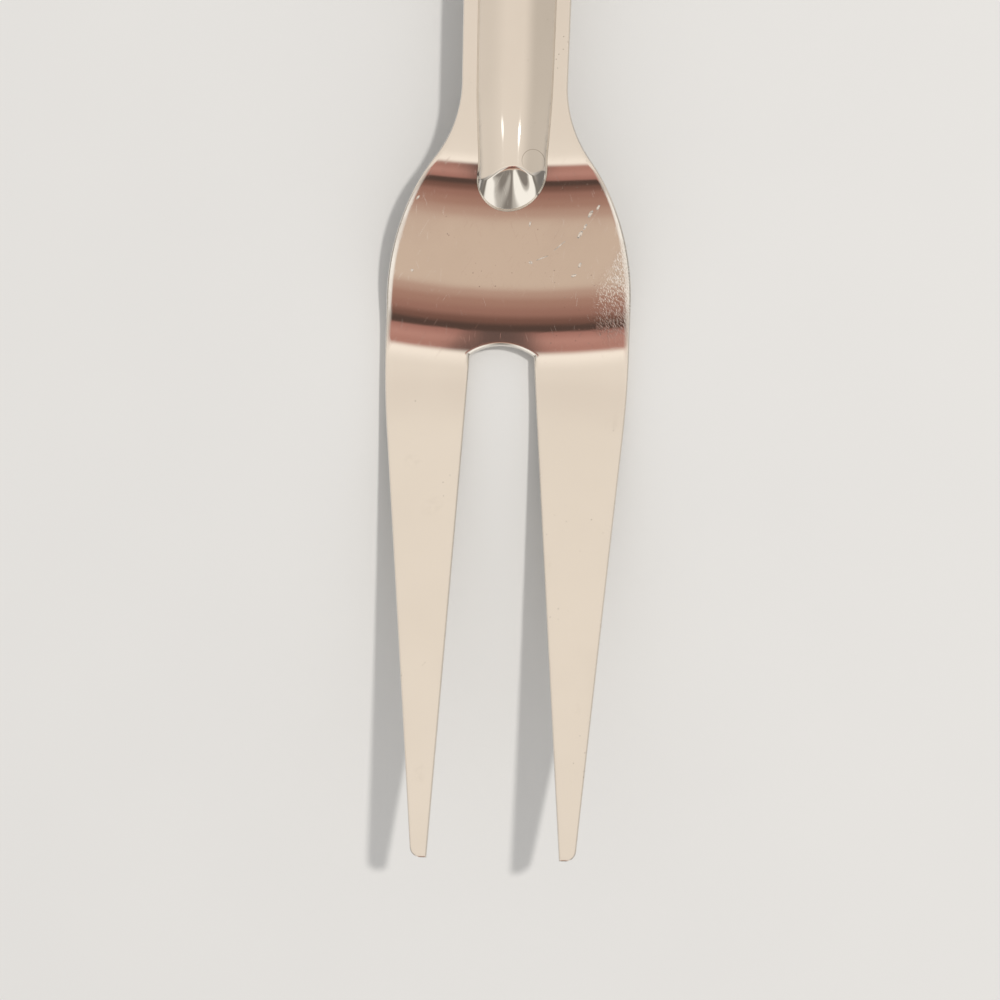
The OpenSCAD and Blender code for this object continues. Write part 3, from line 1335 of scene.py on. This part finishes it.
    def seat_normal(self, loop: Grid) -> Grid:
        """Normal of the plate under the points of the foot.

        Args:
            loop: points of the foot.

        Returns:
            Square to the profile's slope on the front, and to the straight handle on the back.
        """
        if self.side is Side.BACK:
            up = np.array([0.0, math.sin(self.sizes.drop), math.cos(self.sizes.drop)])
            return np.broadcast_to(-up, loop.shape)
        rise = np.gradient(self.profile.z_front, self.profile.y)
        slope = np.interp(loop[:, 1], self.profile.y, rise)
        return points(0.0, -slope, 1.0) / np.sqrt(1 + slope ** 2)[:, None]

    def solder(self, name: str) -> bpy.types.Object:
        """Makes the narrow hollow of solder along the foot.

        The foot's loop runs round the rim of the nose, up one side and down the other. Across it the
        section is a hollow curve from the plate to the dome, closed through the corner under both.

        Args:
            name: name of the piece.

        Returns:
            The piece.
        """
        grid, mid = self.dome(0.0), self.round_n // 2
        side = grid[self.face_n - 2 + 2 * self.crease_n:]
        loop = np.concatenate([grid[0], side[:, -1], side[-2::-1, 0]])
        climb = np.concatenate([grid[1], side[:, -2], side[-2::-1, 1]]) - loop
        climb[0], climb[self.round_n - 1] = side[0, 1] - side[0, 0], side[0, -2] - side[0, -1]
        climb[self.round_n + len(side) - 1] = grid[-2, mid] - grid[-1, mid]
        ahead = unit(np.roll(loop, -1, axis=0) - np.roll(loop, 1, axis=0))
        level = self.seat_normal(loop)
        out = unit(np.cross(ahead, level))
        out *= np.sign(np.sum(out * (loop - loop.mean(axis=0))))
        low, high = loop + out * self.solder_w, loop + unit(climb) * self.solder_w
        t = np.linspace(0, 1, self.solder_n)[:, None, None]
        curve = (1 - t) ** 2 * low + 2 * t * (1 - t) * (loop + level * self.solder_fill) + t ** 2 * high
        under = (loop - level * self.solder_sink - out * self.solder_under)[None]
        ring = np.concatenate([curve, under, curve[:1]])
        return weld(name, [np.concatenate([ring, ring[:, :1]], axis=1)], None, self.sizes.shift)


# Studio


@dataclass(frozen=True)
class GlossRoom:
    """The room that polished steel mirrors, as tones over the direction (x, y, z) of a mirrored ray.

    It changes along y: front wall, shaded gap, warm strip, pale ceiling. Low in front, on both sides
    of the middle, it has white panels with grey gaps beside them, which only rounded noses and edges
    catch. The far wall and the side walls darken downwards. Two small lamps hang in the ceiling.
    Each list of stops gives tones along one part of the way. Pairs are the limits of soft steps,
    apart from lamp_half, which holds half the width and depth of a lamp.
    """

    strip: Stops = (
        (-0.225, (0.54, 0.19, 0.13)), (-0.13, (0.68, 0.265, 0.185)), (-0.05, (0.62, 0.23, 0.155)))
    strip_from: float = -0.21
    strip_mid: float = -0.005
    strip_shade: Pair = (0.032, 0.012)
    strip_dark: Colour = (0.17, 0.09, 0.07)
    front: Stops = (
        (-0.588, (0.79, 0.55, 0.38)), (-0.556, (0.63, 0.345, 0.225)), (-0.50, (0.53, 0.235, 0.145)),
        (-0.41, (0.46, 0.18, 0.113)), (-0.33, (0.26, 0.098, 0.06)), (-0.27, (0.12, 0.06, 0.042)),
        (-0.24, (0.12, 0.06, 0.042)))
    panels: Stops = (
        (0.04, (0.30, 0.26, 0.22)), (0.14, (0.62, 0.57, 0.50)), (0.26, (1.2, 1.15, 1.05)),
        (0.68, (1.2, 1.15, 1.05)), (0.95, (0.27, 0.24, 0.20)), (1.7, (0.33, 0.29, 0.24)),
        (2.6, (0.84, 0.76, 0.66)))
    panel_near: float = 0.02
    panel_end: float = 2.0
    panel_right: Pair = (0.2, 0.4)
    panel_far: Pair = (2.2, 3.2)
    panel_white: Colour = (1.35, 1.3, 1.2)
    mid_wide: Pair = (0.15, 0.20)
    mid_low: Pair = (-0.74, -0.66)
    side_wide: Pair = (0.10, 0.22)
    side_tone: Colour = (0.80, 0.72, 0.62)
    panel_low: Pair = (-0.28, -0.40)
    ceiling_from: float = -0.045
    ceiling: Stops = ((0.01, (1.18, 1.02, 0.85)), (0.12, (1.0, 0.855, 0.70)), (0.21, (0.96, 0.815, 0.665)),
                      (0.45, (1.01, 0.87, 0.71)))
    right_shade: Pair = (0.25, 0.72)
    right_from: Pair = (-0.15, 0.05)
    right_share: float = 0.27
    left_shade: Pair = (-0.3, -0.9)
    left_share: float = 0.13
    shade: Colour = (0.05, 0.03, 0.0)
    lamps: tuple[tuple[float, float, Colour], ...] = (
        (0.235, 0.155, (3.0, 2.9, 2.7)), (-0.44, 0.152, (1.9, 1.8, 1.65)))
    lamp_half: Pair = (0.06, 0.006)
    walls: Stops = ((0.10, (0.24, 0.22, 0.20)), (0.30, (0.46, 0.42, 0.38)), (0.56, (0.70, 0.66, 0.61)),
                    (0.80, (0.98, 0.86, 0.72)))
    far_wall: Pair = (0.34, 0.50)
    side_wall: Pair = (0.74, 0.90)
    side_wall_to: Pair = (0.10, 0.05)
    wall_top: Pair = (0.84, 0.70)
    cool: float = 0.32

    def front_tone(self, tree: Tree, x: Socket, y: Socket) -> Socket:
        """Front wall, shaded gap and the warm strip with its dark middle, then the panels in front.

        Args:
            tree: tree of the world.
            x: direction to the right.
            y: direction towards the handle.

        Returns:
            The tone below the ceiling.
        """
        wide = abs(x)
        shade = abs(x - self.strip_mid).step(*self.strip_shade)
        strip = tree.mix(shade, tree.ramp(y, self.strip), self.strip_dark)
        tone = tree.ramp(y, (*self.front, (self.strip_from, strip)))
        turn = wide / (self.panel_near - y).clamp(self.panel_near, self.panel_end)
        white = x.step(*self.panel_right) * turn.step(*self.panel_far)
        panel = tree.mix(white, tree.ramp(turn, self.panels), self.panel_white)
        beside = 1.0 - (1.0 - wide.step(*self.mid_wide)) * y.step(*self.mid_low)
        return tree.mix(y.step(*self.panel_low), tree.mix(wide.step(*self.side_wide), tone, self.side_tone),
                        tree.mix(beside, tone, panel))

    def tone(self, tree: Tree, way: Socket) -> Socket:
        """The whole room, a little greyed.

        Args:
            tree: tree of the world.
            way: direction of the mirrored ray.

        Returns:
            The tone that the ray meets.
        """
        x, y, z = tree.xyz(way)
        tone = tree.ramp(y, ((self.ceiling_from, self.front_tone(tree, x, y)), *self.ceiling))
        right = x.step(*self.right_shade) * self.right_share * y.step(*self.right_from)
        tone = tree.mix(right + x.step(*self.left_shade) * self.left_share, tone, self.shade)
        for across, along, light in self.lamps:
            far = ((x - across) / self.lamp_half[0]) ** 2.0 + ((y - along) / self.lamp_half[1]) ** 2.0
            tone = tree.mix(far.step(1.0, 0.0), tone, light)
        walls = (y.step(*self.far_wall) + abs(x).step(*self.side_wall) * y.step(*self.side_wall_to)).clamp()
        tone = tree.mix(walls * z.step(*self.wall_top), tone, tree.ramp(z, self.walls))
        return tree.mix(self.cool, tone, tree.add("ShaderNodeRGBToBW", None, {0: tone}))


@dataclass(frozen=True)
class Studio:
    """Pale floor, soft light and the camera straight above.

    Lengths are metres here, apart from the camera's lens and sensor in mm.
    """

    gloss_room: GlossRoom = GlossRoom()
    room_tone: Colour = (0.62, 0.62, 0.62)
    floor_half: float = 4.0
    floor_drop: float = 3e-5
    floor_tone: Colour = (0.80, 0.785, 0.76)
    floor_shade: Colour = (0.77, 0.755, 0.735)
    floor_mottle: Grain = Grain((35.0,) * 3, 0.0, 3.0, 0.5)
    floor_rough: float = 0.9
    floor_shine: float = 0.1
    lamp_at: Vector = (0.32, 0.11, 0.95)
    lamp_aim: Vector = (0.0, -0.06, 0.0)
    lamp_size: float = 0.06
    lamp_power: float = 4.2
    lamp_tone: Colour = (1.0, 0.98, 0.95)
    camera_at: Vector = (-0.00031, -0.07583, 0.282)
    camera_roll: float = 1.66
    lens: float = 94.7
    sensor: float = 36.0
    clip: float = 0.01

    def floor(self) -> None:
        """Lays a wide pale floor with a faint mottle."""
        mesh = bpy.data.meshes.new("floor")
        corners = [(x * self.floor_half, y * self.floor_half, -self.floor_drop)
                   for x, y in ((-1, -1), (1, -1), (1, 1), (-1, 1))]
        mesh.from_pydata(corners, [], [(0, 1, 2, 3)])
        obj = bpy.data.objects.new("floor", mesh)
        bpy.context.scene.collection.objects.link(obj)
        material, tree = new_material("floor_paint")
        mottle = tree.grain(tree.place(), self.floor_mottle)
        surface(tree, {"Base Color": tree.mix(mottle, self.floor_tone, self.floor_shade),
                       "Roughness": self.floor_rough, "Specular IOR Level": self.floor_shine})
        mesh.materials.append(material)

    def world(self) -> None:
        """A pale even room for the light, and the gloss room for what the steel mirrors."""
        world = bpy.data.worlds.new("room")
        bpy.context.scene.world = world
        world.use_nodes = True
        tree = Tree(world.node_tree)
        mirrored = self.gloss_room.tone(tree, tree.add("ShaderNodeTexCoord", out="Generated"))
        path = tree.add("ShaderNodeLightPath", out="Is Glossy Ray")
        shader = tree.add("ShaderNodeBackground", None, {"Color": tree.mix(path, self.room_tone, mirrored)})
        tree.add("ShaderNodeOutputWorld", None, {"Surface": shader})

    def lamp(self) -> None:
        """Hangs a square area lamp aimed at the head of the fork, which the gloss doesn't show."""
        light = bpy.data.lights.new("key", "AREA")
        light.size, light.energy, light.color = self.lamp_size, self.lamp_power, self.lamp_tone
        obj = bpy.data.objects.new("key", light)
        aim = np.array(self.lamp_aim) - np.array(self.lamp_at)
        obj.location = self.lamp_at
        obj.rotation_euler = (math.atan2(math.hypot(aim[0], aim[1]), -aim[2]), 0,
                              math.atan2(aim[1], aim[0]) - math.pi / 2)
        obj.visible_glossy = False
        bpy.context.scene.collection.objects.link(obj)

    def camera(self) -> None:
        """Sets the camera above the head, turned a little about its own axis."""
        data = bpy.data.cameras.new("camera")
        data.lens, data.sensor_width, data.clip_start = self.lens, self.sensor, self.clip
        obj = bpy.data.objects.new("camera", data)
        obj.location = self.camera_at
        obj.rotation_euler = (0, 0, math.radians(self.camera_roll))
        bpy.context.scene.collection.objects.link(obj)
        bpy.context.scene.camera = obj

    def build(self) -> None:
        """Sets up everything around the fork."""
        self.floor()
        self.world()
        self.lamp()
        self.camera()
        bpy.context.scene.view_settings.view_transform = "Standard"


# The fork


BLADE_KNOCKS = (
    Mark(9.1, -44.9, 0.60, 0.24, 55), Mark(8.3, -45.6, 0.85, 0.32, 58), Mark(7.8, -46.9, 0.65, 0.24, 60),
    Mark(7.3, -47.7, 0.90, 0.32, 56), Mark(2.2, -50.7, 0.40, 0.32), Mark(2.0, -46.8, 0.50, 0.20, 80),
    Mark(7.4, -50.8, 0.55, 0.26, 62), Mark(6.8, -51.9, 0.60, 0.24, 20), Mark(-9.8, -44.4, 0.50, 0.20, 50),
    Mark(-10.3, -51.8, 0.35, 0.26), Mark(5.2, -48.9, 1.60, 0.10, 40), Mark(3.4, -50.2, 1.40, 0.10, 22))
BLADE_SCUFFS = (Mark(11.4, -54.6, 11.0, 6.5, 85), Mark(11.9, -50.5, 7.0, 2.6, 80))
BLADE_STAINS = (
    Mark(-7.8, -104.2, 3.2, 1.6, 95), Mark(-9.6, -71.9, 2.6, 1.8), Mark(-7.4, -76.6, 3.4, 2.2, 40),
    Mark(11.7, -67.3, 2.4, 0.9, 85), Mark(4.9, -82.1, 3.0, 0.9, 92), Mark(8.2, -97.5, 2.2, 1.2, 80))
SHELL_DROPS = (Mark(2.15, -40.5, 1.20, 0.07),)
SHELL_GRIME = (Mark(3.50, -39.3, 0.40, 0.14, 88), Mark(3.54, -38.3, 0.28, 0.12, 90))


@dataclass
class CarvingFork:
    """The whole fork: blade, two shells, the solder along them and the filler inside."""

    sizes: ForkSizes = field(default_factory=ForkSizes)

    @staticmethod
    def dress(obj: bpy.types.Object, material: bpy.types.Material, slot: str, node: str | None) -> None:
        """Puts a finish on a piece and ties it to the frame.

        Args:
            obj: the piece.
            material: its finish.
            slot: not used.
            node: the plain node that the piece takes the place of.
        """
        obj.data.materials.append(material)
        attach(obj, "root")
        if node:
            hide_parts(node)

    def build(self) -> None:
        """Makes and dresses every piece."""
        profile = SideProfile(self.sizes)
        blade = PolishedSteel("blade_steel", knocks=BLADE_KNOCKS, scuffs=BLADE_SCUFFS, stains=BLADE_STAINS)
        self.dress(Blade(self.sizes, profile).build(), blade.build(), "blade_steel", "fork_blade")
        steel = PolishedSteel("shell_steel", (0.79, 0.758, 0.715), (0.73, 0.697, 0.65), gloss=0.02,
                              haze=0.03, drops=SHELL_DROPS, grime=SHELL_GRIME).build()
        braze = BrazeMetal().build()
        for side in Side:
            shell, label = HandleShell(self.sizes, profile, side), side.value
            self.dress(shell.build(f"{label}_shell"), steel, "shell_steel", f"{label}_handle_shell")
            self.dress(shell.solder(f"{label}_solder"), braze, "shell_steel", None)
        resin = CastResin().build()
        for material_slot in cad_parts["handle_filler"].material_slots:
            material_slot.material = resin
        LOG.info("handle_filler: dressed with %s", resin.name)


def main() -> None:
    """Builds the fork and the studio."""
    logging.basicConfig(level=logging.INFO, format="%(name)s: %(message)s")
    CarvingFork().build()
    Studio().build()


if __name__ == "__main__":
    main()
